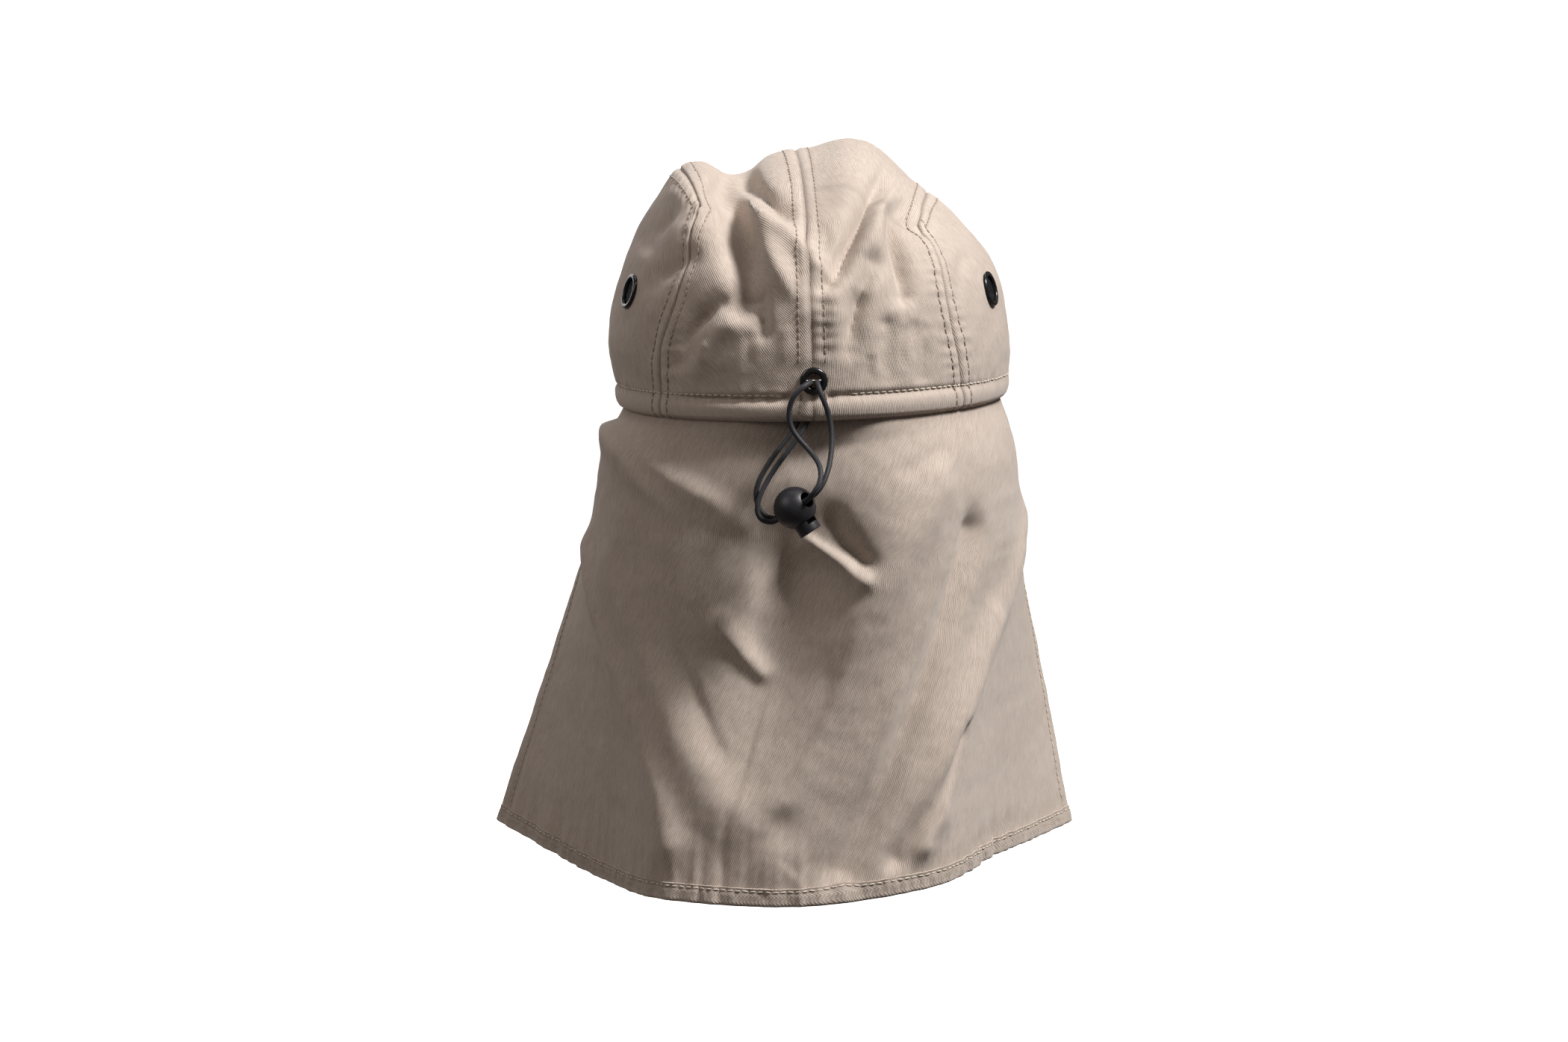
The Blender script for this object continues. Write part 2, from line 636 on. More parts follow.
fittingMaps = {
    "eyelet": eyeletMap(),
    "ventLeft": roundMap(np.array(fittings["ventLeft"]), fittings["ventAlong"]),
    "ventRight": roundMap(np.array(fittings["ventRight"]), fittings["ventAlong"]),
}
fittingSpots = [crownBase(*spot) for spot in fittingMaps.values()]


def fittingFrame(name):
    spot = fittingMaps[name]
    out = Vector(normalsOf(crownSurface, *spot))
    turn = out.to_track_quat("Z", "Y").to_matrix().to_4x4()
    return Matrix.Translation(Vector(crownSurface(*spot))) @ turn


# Cloth panels

seams = {
    # share, left, back
    "centre": ((0.00, 0.000, 1.00), (0.20, 0.012, 0.60), (0.35, 0.026, 0.30), (0.50, 0.044, 0.00),
               (0.70, 0.030, -0.40), (1.00, 0.000, -1.00)),
    "left": (
        ((0.00, 0.759, 0.651), (0.13, 0.600, 0.575), (0.26, 0.430, 0.490), (0.36, 0.305, 0.330)),
        ((0.36, 0.305, 0.330), (0.50, 0.350, 0.000), (0.64, 0.310, -0.340)),
        ((0.64, 0.310, -0.340), (0.80, 0.440, -0.540), (1.00, 0.620, -0.785)),
    ),
    "right": (
        ((0.00, -0.749, 0.663), (0.12, -0.610, 0.605), (0.25, -0.460, 0.510), (0.36, -0.335, 0.325)),
        ((0.36, -0.335, 0.325), (0.50, -0.360, 0.000), (0.64, -0.310, -0.340)),
        ((0.64, -0.310, -0.340), (0.80, -0.440, -0.540), (1.00, -0.620, -0.785)),
    ),
    "corners": (0.36, 0.64),
}
panelGrid = {
    "stripRows": (100, 74, 90),
    "stripColumns": 46,
    "sideRows": 76,
    "sideColumns": 120,
}


def seamLine(parts, at):
    at = np.asarray(at, float)
    line = readTable(parts[0], at)
    for part in parts[1:]:
        line = np.where((at >= part[0][0])[..., None], readTable(part, at), line)
    return line


def bandArc(start, end, at):
    first, last = math.atan2(*start), math.atan2(*end)
    around = (last - first + math.pi) % (2 * math.pi) - math.pi
    turn = first + around * np.asarray(at, float)
    return np.stack([np.sin(turn), np.cos(turn)], axis=-1)


def fillBetween(low, high, first, last, s, t):
    # blend of four edges: low and high run with t, first and last run with s
    s, t = s[:, None, None], t[None, :, None]
    corners = ((1 - s) * (1 - t) * low[0] + (1 - s) * t * low[-1]
               + s * (1 - t) * high[0] + s * t * high[-1])
    return (1 - s) * low[None] + s * high[None] + (1 - t) * first[:, None] + t * last[:, None] - corners


def stripMap(side):
    rows = panelGrid["stripRows"]
    back, front = seams["corners"]
    s = np.concatenate([np.linspace(0, back, rows[0]), np.linspace(back, front, rows[1])[1:],
                        np.linspace(front, 1, rows[2])[1:]])
    t = np.linspace(0, 1, panelGrid["stripColumns"])
    centre, edge = readTable(seams["centre"], s), seamLine(seams[side], s)
    foot, end = bandArc(centre[0], edge[0], t), bandArc(centre[-1], edge[-1], t)
    return fillBetween(foot, end, centre, edge, s, t)


def sideMap(side):
    back, front = seams["corners"]
    up = np.linspace(0, 1, panelGrid["sideRows"])
    t = np.linspace(0, 1, panelGrid["sideColumns"])
    rear = seamLine(seams[side], up * back)
    upper = readTable(seams[side][1], back + (front - back) * t)
    ahead = readTable(seams[side][2], 1 - up * (1 - front))
    foot = bandArc(rear[0], ahead[0], t)
    return fillBetween(foot, upper, rear, ahead, up, t)


def gridNormals(points):
    return unit(np.cross(np.gradient(points, axis=1), np.gradient(points, axis=0)))


def fromEdges(points):
    # distances over the cloth from the first column, last column, first row and last row
    columns = np.linalg.norm(np.diff(points, axis=1), axis=-1)
    rows = np.linalg.norm(np.diff(points, axis=0), axis=-1)
    left = np.concatenate([np.zeros((points.shape[0], 1)), np.cumsum(columns, axis=1)], axis=1)
    low = np.concatenate([np.zeros((1, points.shape[1])), np.cumsum(rows, axis=0)], axis=0)
    return left, left[:, -1:] - left, low, low[-1:] - low


def layGrid(name, points, uv):
    # a flat grid laid on the worked-out surface; rows run up, columns run across
    rows, columns = points.shape[:2]
    cloth = add(bpy.ops.mesh.primitive_grid_add, x_subdivisions=columns - 1, y_subdivisions=rows - 1, size=1)
    cloth.name = name
    cloth.data.name = name
    flat = np.empty(rows * columns * 3)
    cloth.data.vertices.foreach_get("co", flat)
    flat = flat.reshape(-1, 3)
    order = np.lexsort((flat[:, 0].round(6), flat[:, 1].round(6)))
    placed = np.empty_like(flat)
    placed[order] = points.reshape(-1, 3)
    cloth.data.vertices.foreach_set("co", placed.ravel())
    spread = np.empty((len(flat), 2))
    spread[order] = uv.reshape(-1, 2)
    while cloth.data.uv_layers:
        cloth.data.uv_layers.remove(cloth.data.uv_layers[0])
    layer = cloth.data.uv_layers.new(name="cloth")
    corner = np.empty(len(cloth.data.loops), int)
    cloth.data.loops.foreach_get("vertex_index", corner)
    layer.data.foreach_set("uv", spread[corner].ravel())
    cloth.data.update()
    return cloth, order


def paint(cloth, order, name, values):
    # one soft value for each point of the cloth
    attribute = cloth.data.attributes.new(name, "FLOAT", "POINT")
    spread = np.zeros(len(cloth.data.vertices))
    spread[order] = np.clip(values, 0, 1).ravel()
    attribute.data.foreach_set("value", spread)


def finishCloth(cloth, thickness, material, slot, node):
    applyModifier(cloth, "SOLIDIFY", thickness=thickness, offset=-1)
    smoothShade(cloth, 60)
    dress(cloth, material, "cap", slot, node)


def unroll(toFirst, toLow):
    # the weave follows the cloth: across from the middle column, up along it
    middle = toFirst.shape[1] // 2
    return toFirst - toFirst[:, middle:middle + 1], np.repeat(toLow[:, middle:middle + 1],
                                                              toFirst.shape[1], axis=1)


# degrees off upright for each piece of cloth
twillLean = {"left": 33, "right": 12, "flap": 22, "tape": 62, "sweatband": 45, "peak": 10}


def turnUv(across, up, degrees):
    # the ribs run from upper left to lower right in the photo's view, this far off upright
    turn = math.radians(degrees)
    return np.stack([across * math.cos(turn) + up * math.sin(turn),
                     -across * math.sin(turn) + up * math.cos(turn)], axis=-1)


seamLook = {
    "groove": (0.62 * mm, 0.42 * mm),       # depth and width of the seam itself
    "allowance": (0.28 * mm, 5.6 * mm),   # the turned cloth under the surface
    "allowanceEdge": 1.2 * mm,
    "stitchOffset": 5.0 * mm,
    "stitchDip": (0.24 * mm, 0.6 * mm),
    "pucker": 0.24 * mm,
    "puckerReach": 9 * mm,
    "puckerSize": 5.2 * mm,
}


def seamLift(distance, along, seed, strength=1.0):
    # the cloth's relief beside one seam
    depth, width = seamLook["groove"]
    rise, reach = seamLook["allowance"]
    dip, dipWidth = seamLook["stitchDip"]
    lift = -depth * bump(distance, width)
    edge = seamLook["allowanceEdge"]
    lift = lift + rise * ramp(distance, 0, edge) * (1 - ramp(distance, reach - edge, reach + edge / 2))
    lift = lift - dip * bump(distance - seamLook["stitchOffset"], dipWidth)
    wave = along / seamLook["puckerSize"]
    ripple = (np.sin(2 * math.pi * (wave + 0.32 * np.sin(wave * 0.9 + seed)) + seed)
              + 0.6 * np.sin(2 * math.pi * wave * 0.57 + 2.1 * seed))
    window = ramp(distance, 0.2 * mm, 3 * mm) * (1 - ramp(distance, 0.45 * seamLook["puckerReach"],
                                                          seamLook["puckerReach"] * 1.5))
    swell = 0.55 + 0.45 * np.sin(along / (23 * mm) + seed * 1.7)
    return lift + strength * seamLook["pucker"] * ripple * window * swell


bandLook = {
    "stitchHeight": 9.9 * mm,
    "dip": 1.5 * mm,
    "dipWidth": 1.3 * mm,
    "leftCrease": 1.9 * mm,       # the deep crease left of the eyelet
    "roll": 0.9 * mm,
    "curl": 1.5 * mm,
    "seamFade": (9 * mm, 15 * mm),    # below this the casing's own relief takes over
    "radius": 85 * mm,
    "pucker": 0.32 * mm,
}


def bandLift(height, angle):
    # the casing: a dip at the topstitch, a soft roll below it and a turned lower edge
    around = angle * bandLook["radius"]
    ripple = (np.sin(around / (1.05 * mm) + 1.3 * np.sin(around / (6.1 * mm)))
              + 0.7 * np.sin(around / (2.3 * mm) + 0.8))
    swell = 0.5 + 0.5 * np.sin(around / (17 * mm) + 0.6)
    crease = 0.55 + 0.45 * np.sin(around / (29 * mm) + 2.4)
    leftBack = ramp(around, 8 * mm, 14 * mm) * (1 - ramp(around, 50 * mm, 66 * mm))
    fromDip = height - bandLook["stitchHeight"] + 0.6 * mm
    lift = -bandLook["dip"] * crease * bump(fromDip, bandLook["dipWidth"])
    lift = lift - bandLook["leftCrease"] * leftBack * bump(height - 8.3 * mm, 1.2 * mm)
    lift = lift + bandLook["roll"] * bump(height - 4.8 * mm, 3.6 * mm)
    lift = lift - bandLook["curl"] * (1 - ramp(height, 0, 1.7 * mm))
    lift = lift + bandLook["pucker"] * ripple * swell * bump(height - bandLook["stitchHeight"], 3.2 * mm)
    return lift


# height and size of the small soft wrinkles that no table holds
wrinkles = ((0.55 * mm, 19 * mm), (0.30 * mm, 8 * mm), (0.12 * mm, 3.4 * mm))


def crumple(points, strength=1.0):
    return strength * sum(height * grain(points, size, seed + 1)
                          for seed, (height, size) in enumerate(wrinkles))


def cutRound(cloth, frameMatrix, radius):
    # the faces inside a round hole go, before the cloth gets its thickness
    makeActive(cloth)
    inverse = frameMatrix.inverted()
    bpy.ops.object.mode_set(mode="EDIT")
    bpy.ops.mesh.select_mode(type="FACE")
    bpy.ops.mesh.select_all(action="DESELECT")
    bpy.ops.object.mode_set(mode="OBJECT")
    for face in cloth.data.polygons:
        place = inverse @ face.center
        face.select = math.hypot(place.x, place.y) < radius and abs(place.z) < 8 * mm
    bpy.ops.object.mode_set(mode="EDIT")
    bpy.ops.mesh.delete(type="FACE")
    bpy.ops.object.mode_set(mode="OBJECT")


panels = []


def crownPanel(name, mapGrid, side, node, isStrip):
    base = crownSurface(mapGrid[..., 0], mapGrid[..., 1])
    toFirst, toLast, toLow, toHigh = fromEdges(base)
    outward = gridNormals(base) * (1 if side < 0 else -1)
    height = toLow if not isStrip else np.minimum(toLow, toHigh)
    angle = np.arctan2(mapGrid[..., 0], mapGrid[..., 1])
    lift = crumple(base)
    lift = lift + seamLift(toFirst, toLow, 1.0 + side) + seamLift(toLast, toLow, 2.3 - side)
    if not isStrip:
        lift = lift + seamLift(toHigh, toFirst, 0.4 * side)
    lift = lift * ramp(height, *bandLook["seamFade"])
    groove = -0.45 * mm * (bump(toFirst, 0.5 * mm) + bump(toLast, 0.5 * mm))
    groove = groove * (1 - ramp(height, *bandLook["seamFade"]))
    lift = lift + groove + bandLift(height, angle)
    for spot in fittingSpots:
        lift = lift * ramp(np.linalg.norm(base - spot, axis=-1), *crownForm["fineCalm"])
    points = base + outward * lift[..., None]
    across, up = unroll(toFirst, toLow)
    if side > 0:
        points, across, up = points[:, ::-1], -across[:, ::-1], up[:, ::-1]
    lean = twillLean["left" if side > 0 else "right"]
    cloth, order = layGrid(name, points, turnUv(across, up, lean))
    flip = (lambda a: a[:, ::-1]) if side > 0 else (lambda a: a)
    edge = np.minimum(toFirst, toLast) if isStrip else np.minimum(np.minimum(toFirst, toLast), toHigh)
    wear = 0.16 * ramp(lift, 0.1 * mm, 0.9 * mm) + 0.10 * bump(edge - 2.6 * mm, 1.6 * mm)
    shade = 0.75 * bump(edge, 0.55 * mm) + 0.30 * bump(edge - 5 * mm, 0.45 * mm)
    shade = shade + 0.4 * bump(height - bandLook["stitchHeight"], 0.5 * mm) + 0.6 * bump(height, 0.7 * mm)
    paint(cloth, order, "wear", flip(wear))
    paint(cloth, order, "shade", flip(shade))
    for spotName in fittingMaps:
        radius = fittings["eyeletHole"] if spotName == "eyelet" else fittings["ventHole"]
        cutRound(cloth, fittingFrame(spotName), radius)
    finishCloth(cloth, crownForm["cloth"], clothTwill, "crown_cotton", node)
    panels.append({"grids": (flip(points), outward), "edges": (toFirst, toLast, toLow, toHigh),
                   "isStrip": isStrip})


for form, node, layMap in (("crownStrip", "crown_strip_", stripMap), ("sidePanel", "side_panel_", sideMap)):
    for side, turn in (("left", 1), ("right", -1)):
        crownPanel(form + side.title(), layMap(side), turn, node + side, layMap is stripMap)
print("crown panels are sewn")


# Neck flap

flapForm = {
    "length": 184 * mm,
    "step": 0.8 * mm,
    "cloth": 1.0 * mm,
    "across": 180,
    "foldFade": 9 * mm,
    "foldGain": 1.45,
    "inset": (1.2 + 0.6 + 0.3) * mm,
    "channel": 4.4 * mm,
    "channelHalf": 32 * mm,
    "bandHalf": (76.3 * mm, 97 * mm),
    "top": -9.5 * mm,
    "columns": 300,
    "rows": 150,
    # share, degrees round the band, hem x, y, z, bulge under the band
    "hang": (
        (-1.00, -108, -105.7, -30, -170.4, 0.0),
        (-0.80, -87, -88.5, 3, -172.0, 5.0),
        (-0.56, -64, -71.5, 40, -172.0, 8.0),
        (-0.27, -33, -46.0, 88, -176.0, 5.5),
        (0.00, 0, 4.0, 100, -181.6, 8.0),
        (0.27, 33, 55.0, 90, -180.8, 5.5),
        (0.56, 64, 80.0, 46, -181.3, 9.5),
        (0.80, 87, 99.5, 14, -177.4, 6.5),
        (1.00, 108, 127.6, -30, -170.0, 0.0),
    ),
    # share of the length, share of the bulge
    "bulge": ((0.00, 0.00), (0.05, 0.50), (0.11, 0.88), (0.20, 1.00), (0.32, 0.90), (0.50, 0.45),
              (0.70, 0.12), (1.00, 0.00)),
}
# Folds: across from the middle and down from the band; widths, heights as on the crown
flapFolds = (
    (8, 58, 12, 103, 17, 156, 22, 22, -9, -3),
    (-52, 30, -25, 68, 8, 143, 12, 10, 3, 4),
    (-73, 48, -47, 106, -14, 172, 7, 6, -4, -4),
    (-90, 86, -62, 123, -43, 167, 7, 6, 3, 3),
    (-66, 128, -50, 150, -34, 171, 5, 4, -3, -3),
    (140, 57, 79, 116, 50, 163, 9, 8, 3, 3),
    (101, 61, 55, 118, 12, 164, 13, 10, 2, 3),
    (36, 77, 28, 87, 18, 97, 4, 4, 3, 2),
    (130, 10, 66, 22, 28, 38, 6, 5, 3, 1),
    (2, 47, -9, 54, -19, 61, 4, 4, 3, 3),
    (-9, 38, -15, 47, -21, 55, 4, 4, -3, -3),
    (-140, 50, -72, 116, -53, 158, 8, 7, 2, 2),
    (4, 16, 6, 52, 12, 88, 50, 38, -4.6, -4.6),
)
flapCreases = (
    (114, 2, 113, 14, 110, 34, 26, 26, 2.4, 0),
    (-16, 75, -3, 115, 19, 154, 5, 3, -1.6, -1.2),
    (100, 12, 75, 20, 56, 30, 2.5, 2.5, -1.2, -0.8),
    (96, 20, 72, 29, 50, 40, 4, 3, 1.4, 0.8),
    (4, 42, -6, 50, -18, 58, 2.5, 2, 1.4, 1.2),
    (-60, 10, -48, 18, -30, 22, 3, 3, -1.0, -0.6),
    (-40, 92, -30, 120, -20, 150, 3, 2.5, 1.0, 0.8),
    (60, 70, 44, 108, 24, 140, 4, 3, -1.2, -0.9),
    (118, 130, 108, 142, 96, 158, 3, 3, 1.0, 0.7),
)


def bandRing(angle, height, inset):
    along = np.interp(height / mm, [0, 13.0], [0, 0.09])
    left, back = roundMap(angle, along)
    return crownBase(left, back) - normalsOf(crownBase, left, back) * np.asarray(inset)[..., None]


def cordChannel(turn):
    # the room that flap and sweatband leave for the cord, behind the eyelet
    across = np.abs(np.sin(turn)) * flapForm["bandHalf"][0]
    room = np.cos(np.clip(across / flapForm["channelHalf"], 0, 1) * math.pi / 2)**2
    return np.where(np.cos(turn) > 0, flapForm["channel"] * room, 0)


def flapBase(share, down):
    angle, hemX, hemY, hemZ, bulge = np.moveaxis(readTable(flapForm["hang"], share), -1, 0)
    turn = np.radians(angle)
    top = bandRing(angle, np.clip(-down, 0, None), flapForm["inset"] + cordChannel(turn))
    hem = np.stack([hemX, hemY, hemZ], axis=-1) * mm
    t = np.clip(down / flapForm["length"], 0, None)[..., None]
    wide, deep = flapForm["bandHalf"]
    out = unit(np.stack([np.sin(turn) / wide, np.cos(turn) / deep, np.zeros_like(turn)], axis=-1))
    swell = readTable(flapForm["bulge"], t[..., 0]) * bulge[..., None] * mm
    return top + (hem - top) * t + out * swell


def flapNormals(surface, share, down):
    step, fall = crownForm["step"], flapForm["step"]
    return unit(np.cross(surface(share + step, down) - surface(share - step, down),
                         surface(share, down + fall) - surface(share, down - fall)))


def flapPlain(share, down):
    base = flapBase(share, down)
    lift = foldLift(flapFolds, share * flapForm["across"], down / mm) * flapForm["foldGain"]
    lift = lift + 1.3 * foldLift(flapCreases, share * flapForm["across"], down / mm, 0.3)
    lift = lift * ramp(down, 0, flapForm["foldFade"])
    return base + flapNormals(flapBase, share, down) * lift[..., None]


hemLook = {
    "halfHem": 190 * mm,
    "pucker": 0.8 * mm,
    "puckerReach": 24 * mm,
    "puckerSize": 10 * mm,
    "sideHem": 6 * mm,
    "sideStitch": 5.2 * mm,
}


def hemPucker(share, fromHem):
    # short gathers that stand on the hem and die out above it
    around = share * hemLook["halfHem"]
    wave = around / hemLook["puckerSize"]
    ripple = (np.sin(2 * math.pi * (wave + 0.25 * np.sin(1.7 * wave + 0.4)))
              + 0.7 * np.sin(2 * math.pi * wave * 0.61 + 1.1) + 0.35 * np.sin(2 * math.pi * wave * 2.3))
    swell = 0.45 + 0.55 * np.sin(around / (41 * mm) + 0.9)**2
    reach = hemLook["puckerReach"] * (0.7 + 0.3 * np.sin(around / (13 * mm)))
    return hemLook["pucker"] * 0.6 * ripple * swell * np.exp(-(np.maximum(fromHem - 4 * mm, 0) / reach)**2)


def flapFine(share, down):
    plain = flapPlain(share, down)
    normal = flapNormals(flapPlain, share, down)
    lift = crumple(plain, 0.8) * ramp(down, -2 * mm, 8 * mm)
    lift = lift + hemPucker(share, flapForm["length"] - down) * ramp(down, 60 * mm, 120 * mm)
    return plain + normal * lift[..., None], normal


def makeFlap():
    share, down = np.meshgrid(np.linspace(-1, 1, flapForm["columns"]),
                              np.linspace(flapForm["top"], flapForm["length"], flapForm["rows"]))
    points, normal = flapFine(share, down)
    toFirst, toLast, toTop, toHem = fromEdges(points)
    side = np.minimum(toFirst, toLast)
    hemRaise = 0.5 * mm * (1 - ramp(side, hemLook["sideHem"] - 0.6 * mm, hemLook["sideHem"] + 0.5 * mm))
    hemRaise = hemRaise - 0.35 * mm * bump(side - hemLook["sideStitch"], 0.6 * mm)
    points = points + normal * hemRaise[..., None]
    middle = points.shape[1] // 2
    across, up = unroll(toFirst, toTop)
    # rows run down here, so they are laid from the hem up
    cloth, order = layGrid("neckFlap", points[::-1], turnUv(across, -up, twillLean["flap"])[::-1])
    wear = 0.12 * grain(points, 30 * mm, 4)
    shade = 0.35 * bump(side - hemLook["sideStitch"], 0.5 * mm) + 0.5 * (1 - ramp(down, 0, 5 * mm))
    paint(cloth, order, "wear", wear[::-1])
    paint(cloth, order, "shade", shade[::-1])
    fixOut(cloth)
    finishCloth(cloth, flapForm["cloth"], clothTwill, "flap_cotton", "flap")
    return cloth, points, float(toFirst[-1, -1]), float(toTop[-1, middle])


def fixOut(cloth):
    # the face at the back's middle has to look to the back
    middle = Vector((0, flapForm["bandHalf"][1], -0.08))
    face = min(cloth.data.polygons, key=lambda f: (f.center - middle).length)
    if face.normal.y < 0:
        editMesh(cloth, bpy.ops.mesh.flip_normals)


flap, flapPoints, hemWidth, flapLength = makeFlap()
print("neck flap hangs:", round(hemWidth, 4), "wide at the hem,", round(flapLength, 4), "long")

# Hem binding

bindingValues = {
    "height": 6.0 * mm,
    "face": 0.95 * mm,
    "cloth": 0.7 * mm,
    "columns": 420,
    "pucker": 0.34 * mm,
    "stitchHeight": 4.9 * mm,
}


def makeBinding():
    length = flapForm["length"]
    share = np.linspace(-1, 1, bindingValues["columns"])
    face, height = bindingValues["face"], bindingValues["height"]
    back = flapForm["cloth"] + face
    # down the outside, round the fold and up the inside
    section = [(height - step, face) for step in np.linspace(0, height, 9)]
    section += [(-0.55 * mm, 0.75 * face), (-0.95 * mm, 0.0), (-1.05 * mm, -0.5 * mm),
                (-0.95 * mm, -1.0 * mm), (-0.55 * mm, -back + 0.3 * mm)]
    section += [(step, -back) for step in np.linspace(0, height, 7)]
    around = share * hemLook["halfHem"]
    ripple = (np.sin(around / (0.62 * mm) + 1.6 * np.sin(around / (5.3 * mm)))
              + 0.8 * np.sin(around / (1.37 * mm) + 0.5) + 0.6 * np.sin(around / (3.1 * mm)))
    swell = 0.45 + 0.55 * np.sin(around / (19 * mm) + 0.3)**2
    above, _ = flapFine(share, np.full_like(share, length - height))
    hem, _ = flapFine(share, np.full_like(share, length))
    fall = unit(hem - above)
    rows = []
    for up, out in section:
        point, normal = flapFine(share, np.full_like(share, length - max(up, 0)))
        dent = -0.30 * mm * bump(up - bindingValues["stitchHeight"], 0.7 * mm)
        wave = bindingValues["pucker"] * ripple * swell * bump(up - 3.4 * mm, 2.6 * mm)
        side = 1 if out > 0 else -1
        rows.append(point + normal * (out + side * (dent + wave))[:, None] + fall * max(-up, 0))
    points = np.array(rows)
    toFirst, toLast, toTop, toHem = fromEdges(points)
    binding, order = layGrid("hemBinding", points[::-1], turnUv(-toFirst, -toTop, twillLean["tape"])[::-1])
    paint(binding, order, "wear", 0.10 + 0.25 * bump(toTop[::-1] - height, 1.1 * mm))
    fromStitch = toTop[::-1] - (height - bindingValues["stitchHeight"])
    paint(binding, order, "shade", 0.35 * bump(fromStitch, 0.4 * mm))
    fixOut(binding)
    finishCloth(binding, bindingValues["cloth"], tapeTwill, "binding_tape", "flap_binding")
    return points


bindingPoints = makeBinding()
print("hem is bound")


# Sweatband inside the casing

sweatband = {
    "bottom": 0.6 * mm,
    "top": 10.2 * mm,
    "thickness": 1.0 * mm,
    "columns": 300,
    "rows": 16,
    "flapEnds": (111, 124),
    "inset": 2.1 * mm,
    "behindFlap": 1.3 * mm,
    "stitchHeight": 8.9 * mm,
}


def makeSweatband():
    angle, height = np.meshgrid(np.linspace(-180, 180, sweatband["columns"]),
                                np.linspace(sweatband["bottom"], sweatband["top"], sweatband["rows"]))
    turn = np.radians(angle)
    behind = 1 - ramp(np.abs(angle), *sweatband["flapEnds"])
    inset = sweatband["inset"] + (sweatband["behindFlap"] + cordChannel(turn)) * behind
    around = turn * bandLook["radius"]
    ripple = np.sin(around / (1.2 * mm) + 1.2 * np.sin(around / (7 * mm)))
    inset = inset + 0.16 * mm * ripple * bump(height - sweatband["stitchHeight"], 2.4 * mm)
    inset = inset - 0.25 * mm * bump(height - sweatband["stitchHeight"], 0.5 * mm)
    points = bandRing(angle, height, inset)
    toFirst, toLast, toLow, toHigh = fromEdges(points)
    band, order = layGrid("sweatband", points, turnUv(toFirst, toLow, twillLean["sweatband"]))
    paint(band, order, "shade", 0.5 * bump(height - sweatband["stitchHeight"], 0.5 * mm))
    editMesh(band, weld)
    applyModifier(band, "SOLIDIFY", thickness=sweatband["thickness"], offset=-1 if outwards(band) else 1)
    editMesh(band, weld, faceOut)
    smoothShade(band, 50)
    dress(band, tapeTwill, "cap", "crown_cotton", "band_facing")


def outwards(piece):
    # whether the faces of an open ring look away from the middle
    return sum(face.normal.xy.dot(face.center.xy) for face in piece.data.polygons) > 0


makeSweatband()
print("sweatband is in")


# Peak

peakForm = {
    "halfAngle": 62,
    "length": 68 * mm,
    "halfWidth": 72.5 * mm,
    "swell": 0.12,
    "thickness": 3.2 * mm,
    "slope": 0.20,
    "arch": 13 * mm,
    "tuck": 2.4 * mm,
    "drop": 0.7 * mm,
    "gap": 0.3 * mm,
    "rounding": 0.85,
    "columns": 150,
    "rows": 60,
    "stitchRows": (4 * mm, 12 * mm, 20 * mm, 28 * mm, 36 * mm),
    "edge": 1.3 * mm,
}


def makePeak():
    across, out = np.meshgrid(np.linspace(-1, 1, peakForm["columns"]), np.linspace(0, 1, peakForm["rows"]))
    angle = 180 - across * peakForm["halfAngle"]
    inner = bandRing(angle, np.zeros_like(angle), np.full_like(angle, peakForm["tuck"]))
    turn = across * math.pi / 2
    halfLength = flapForm["bandHalf"][1]
    root = -halfLength * math.cos(math.radians(peakForm["halfAngle"]))
    reach = halfLength + peakForm["length"] + root
    outerX = peakForm["halfWidth"] * np.sin(turn) * (1 + peakForm["swell"] * np.cos(turn))
    outerY = root - reach * np.abs(np.cos(turn))**peakForm["rounding"]
    x = inner[..., 0] + (outerX - inner[..., 0]) * out
    y = inner[..., 1] + (outerY - inner[..., 1]) * out
    forward = inner[..., 1] - y
    z = inner[..., 2] - peakForm["gap"] - peakForm["slope"] * forward
    z = z - peakForm["arch"] * (x / peakForm["halfWidth"])**2 * out - peakForm["drop"] * ramp(out, 0, 0.1)
    points = np.stack([x, y, z], axis=-1)
    toFirst, toLast, toRoot, toRim = fromEdges(points)
    seam = np.zeros_like(out)
    for row in peakForm["stitchRows"]:
        seam = seam + bump(toRim - row, 0.7 * mm)
    swell = 0.10 * mm * grain(points, 12 * mm, 6)
    points[..., 2] += swell - 0.30 * mm * seam
    peak, order = layGrid("peak", points[::-1], turnUv(toFirst, toRim, twillLean["peak"])[::-1])
    paint(peak, order, "shade", 0.35 * seam[::-1])
    paint(peak, order, "wear", 0.30 * bump(toRim[::-1], 1.2 * mm))
    if sum(face.normal.z for face in peak.data.polygons) < 0:
        editMesh(peak, bpy.ops.mesh.flip_normals)
    applyModifier(peak, "SOLIDIFY", thickness=peakForm["thickness"], offset=-1)
    applyModifier(peak, "BEVEL", width=peakForm["edge"], segments=4, limit_method="ANGLE",
                  angle_limit=math.radians(50))
    smoothShade(peak, 50)
    dress(peak, clothTwill, "cap", "crown_cotton", "peak")
    return points, toRim


peakPoints, peakToRim = makePeak()
print("peak is covered")


# Eyelet and vents

ringProfiles = {
    # radius and height over the cloth, mm
    "eyelet": ((2.75, -2.30), (4.80, -2.30), (4.80, -1.75), (3.40, -1.75), (3.40, 0.30), (5.22, 0.30),
               (5.25, 0.62), (4.95, 1.12), (4.35, 1.42), (3.60, 1.45), (3.05, 1.25), (2.78, 0.80)),
    "vent": ((5.00, -3.00), (6.50, -3.00), (6.50, -2.50), (5.45, -2.50), (5.45, 0.35), (6.82, 0.35),
             (6.85, 0.62), (6.60, 1.00), (6.10, 1.20), (5.55, 1.18), (5.15, 0.98), (5.02, 0.70)),
}
ringSides = 72


